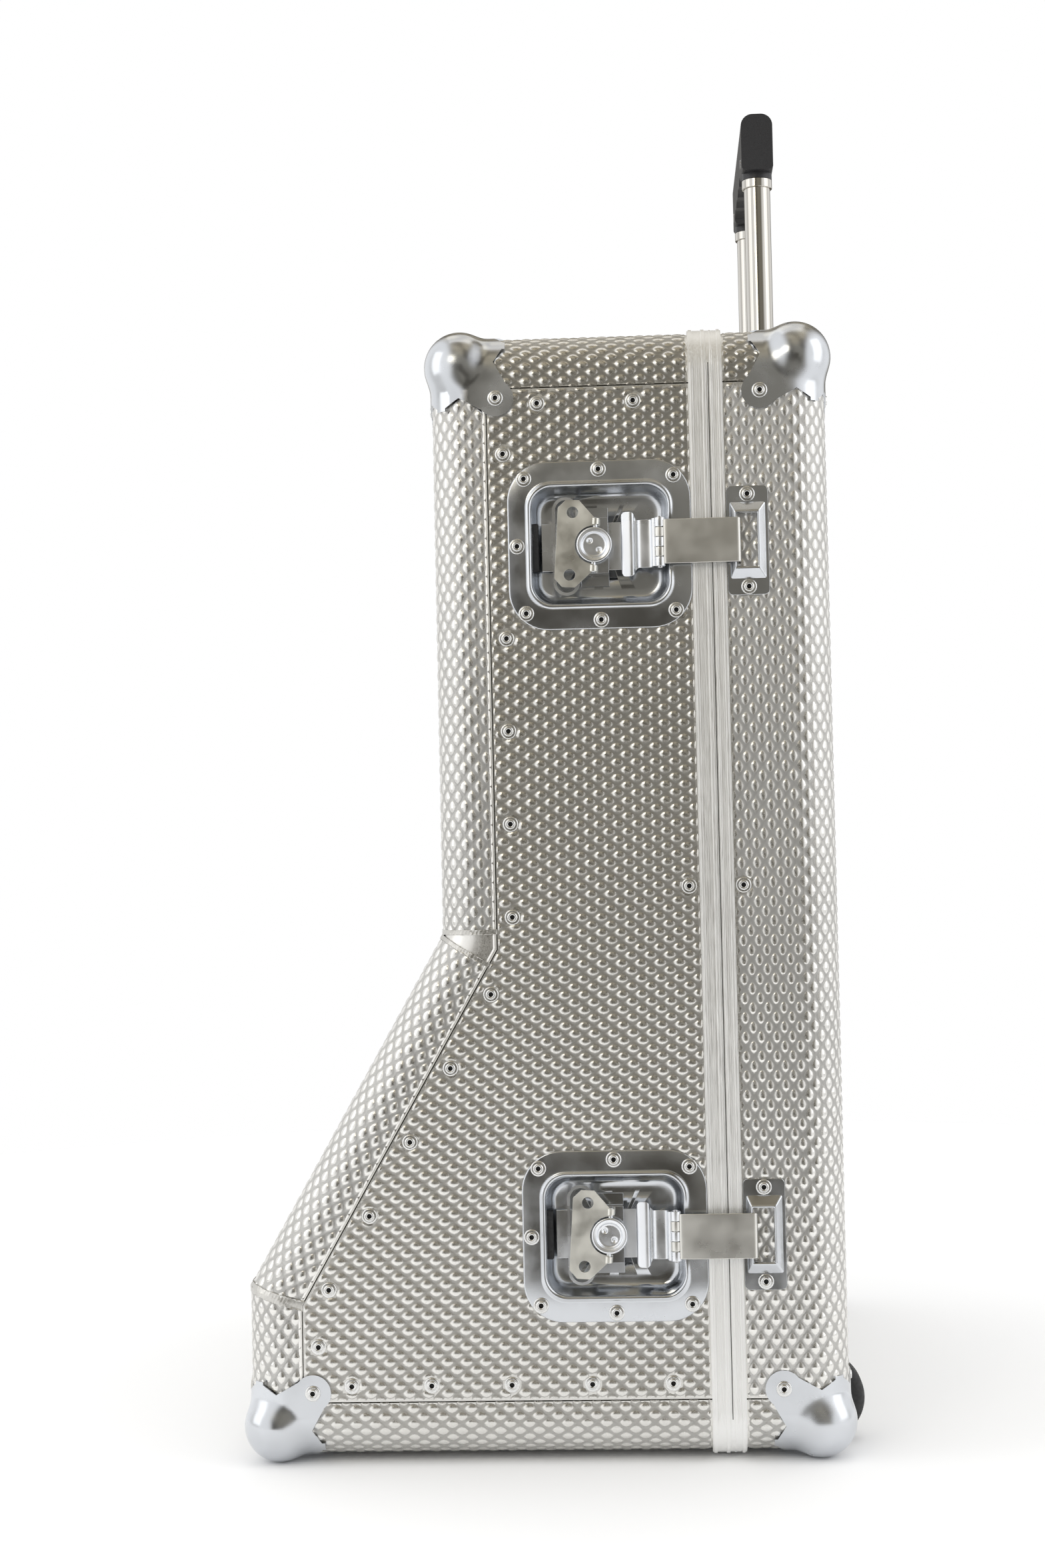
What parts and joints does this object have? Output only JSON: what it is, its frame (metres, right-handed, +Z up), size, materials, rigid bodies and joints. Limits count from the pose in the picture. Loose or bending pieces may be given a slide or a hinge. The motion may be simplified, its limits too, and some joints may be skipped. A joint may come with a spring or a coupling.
{
  "type": "mixer flight case",
  "caption": "Upright wedge-shaped aluminium flight case for an audio mixer, hinged in two halves, with recessed latches, ball corners, foam lining, wheels and a pull-out handle.",
  "frame": {"origin": "centre of the overall box, on the ground plane under the ball corners", "axes": "+Z up as it stands on its end, +X out of the shallow tray, +Y from the latches to the hinges"},
  "size_m": [0.3794, 0.5788, 0.872],
  "materials": {
    "dimpled_aluminium": "dimpled, satin",
    "weld_metal": "as welded",
    "extruded_aluminium": "satin, ribbed",
    "zinc_plate": "zinc plated, bright",
    "rivet_metal": "satin",
    "steel_pin": "bright",
    "chrome_tube": "polished",
    "black_plastic": "matte",
    "button_plastic": "matte",
    "rubber_pad": "matte",
    "wheel_tyre": "matte",
    "wheel_hub": "satin",
    "foam_lining": "open cell foam"
  },
  "bodies": {
    "tray": {"tray_valance": "extruded_aluminium", "tray_face_sheet": "dimpled_aluminium", "tray_top_sheet": "dimpled_aluminium", "tray_bottom_sheet": "dimpled_aluminium", "tray_ball_corners": "zinc_plate", "tray_rivets": "rivet_metal", "keepers": "zinc_plate", "tray_hinge_leaves": "zinc_plate", "hinge_pins": "steel_pin", "guide_tubes": "steel_pin", "guide_clamps": "black_plastic", "handle_bezels": "black_plastic", "wheel_housings": "zinc_plate", "wheel_axles": "steel_pin", "axle_spacers": "steel_pin", "tray_foam_bed": "foam_lining", "tray_foam_walls": "foam_lining"},
    "lid": {"lid_top_sheet": "dimpled_aluminium", "lid_front_sheet": "dimpled_aluminium", "lid_slope_sheet": "dimpled_aluminium", "lid_foot_sheet": "dimpled_aluminium", "lid_bottom_sheet": "dimpled_aluminium", "lid_weld_beads": "weld_metal", "lid_latched_side": "dimpled_aluminium", "lid_hinged_side": "dimpled_aluminium", "lid_valance": "extruded_aluminium", "lid_ball_corners": "zinc_plate", "lid_rivets": "rivet_metal", "lid_hinge_leaves": "zinc_plate", "upper_latch_dish": "zinc_plate", "lower_latch_dish": "zinc_plate", "latch_brackets": "zinc_plate", "latch_finger_scoops": "zinc_plate", "latch_stop_pads": "rubber_pad", "lid_foam_ends": "foam_lining", "lid_foam_front": "foam_lining", "lid_foam_sides": "foam_lining"},
    "handle": {"handle_tubes": "chrome_tube", "handle_collars": "chrome_tube", "handle_tube_glides": "black_plastic", "handle_grip": "black_plastic", "grip_screws": "steel_pin"},
    "release_button": {"handle_button": "button_plastic"},
    "near_wheel": {"near_wheel_tyre": "wheel_tyre", "near_wheel_hub": "wheel_hub", "near_wheel_bearings": "steel_pin"},
    "far_wheel": {"far_wheel_tyre": "wheel_tyre", "far_wheel_hub": "wheel_hub", "far_wheel_bearings": "steel_pin"},
    "upper_latch_rotor": {"upper_latch_rotor": "zinc_plate"},
    "upper_latch_wing": {"upper_latch_wing": "zinc_plate"},
    "upper_latch_pull_plate": {"upper_latch_pull_plate": "zinc_plate", "upper_latch_strap_pin": "steel_pin"},
    "upper_latch_strap": {"upper_latch_strap": "zinc_plate"},
    "lower_latch_rotor": {"lower_latch_rotor": "zinc_plate"},
    "lower_latch_wing": {"lower_latch_wing": "zinc_plate"},
    "lower_latch_pull_plate": {"lower_latch_pull_plate": "zinc_plate", "lower_latch_strap_pin": "steel_pin"},
    "lower_latch_strap": {"lower_latch_strap": "zinc_plate"}
  },
  "joints": [
    {"name": "lid_hinge", "type": "hinge", "parent": "tray", "child": "lid", "pos_m": [0.1063, 0.2856, 0.3444], "axis": [0, 0, -1], "range_deg": [0, 100]},
    {"name": "handle_slide", "type": "slide", "parent": "tray", "child": "handle", "axis": [0, 0, 1], "range_m": [-0.134, 0.15]},
    {"name": "button_press", "type": "slide", "parent": "handle", "child": "release_button", "axis": [0, 0, -1], "range_m": [0, 0.003], "stiffness_N_per_m": 500, "springref_m": -0.002},
    {"name": "near_wheel_spin", "type": "hinge", "parent": "tray", "child": "near_wheel", "pos_m": [0.1637, -0.2169, 0.0266], "axis": [0, 1, 0], "continuous": true},
    {"name": "far_wheel_spin", "type": "hinge", "parent": "tray", "child": "far_wheel", "pos_m": [0.1637, 0.2141, 0.0266], "axis": [0, 1, 0], "continuous": true},
    {"name": "upper_latch_turn", "type": "hinge", "parent": "lid", "child": "upper_latch_rotor", "pos_m": [0.0354, -0.2764, 0.5524], "axis": [0, 1, 0], "range_deg": [0, 180]},
    {"name": "upper_latch_wing_flip", "type": "hinge", "parent": "upper_latch_rotor", "child": "upper_latch_wing", "pos_m": [0.0354, -0.2805, 0.5524], "axis": [0.0698, 0, 0.9976], "range_deg": [0, 90]},
    {"name": "upper_latch_draw", "type": "slide", "parent": "lid", "child": "upper_latch_pull_plate", "axis": [1, 0, 0], "range_m": [0, 0.0076]},
    {"name": "upper_latch_strap_swing", "type": "hinge", "parent": "upper_latch_pull_plate", "child": "upper_latch_strap", "pos_m": [0.0751, -0.2862, 0.5524], "axis": [0, 0, -1], "range_deg": [0, 100]},
    {"name": "lower_latch_turn", "type": "hinge", "parent": "lid", "child": "lower_latch_rotor", "pos_m": [0.0354, -0.2764, 0.1364], "axis": [0, 1, 0], "range_deg": [0, 180]},
    {"name": "lower_latch_wing_flip", "type": "hinge", "parent": "lower_latch_rotor", "child": "lower_latch_wing", "pos_m": [0.0354, -0.2805, 0.1364], "axis": [0.0698, 0, 0.9976], "range_deg": [0, 90]},
    {"name": "lower_latch_draw", "type": "slide", "parent": "lid", "child": "lower_latch_pull_plate", "axis": [1, 0, 0], "range_m": [0, 0.0076]},
    {"name": "lower_latch_strap_swing", "type": "hinge", "parent": "lower_latch_pull_plate", "child": "lower_latch_strap", "pos_m": [0.0751, -0.2862, 0.1364], "axis": [0, 0, -1], "range_deg": [0, 100]}
  ],
  "couplings": [
    {"joint": "upper_latch_draw", "follows": "upper_latch_turn", "m_per_rad": 0.0023873},
    {"joint": "lower_latch_draw", "follows": "lower_latch_turn", "m_per_rad": 0.0023873}
  ]
}
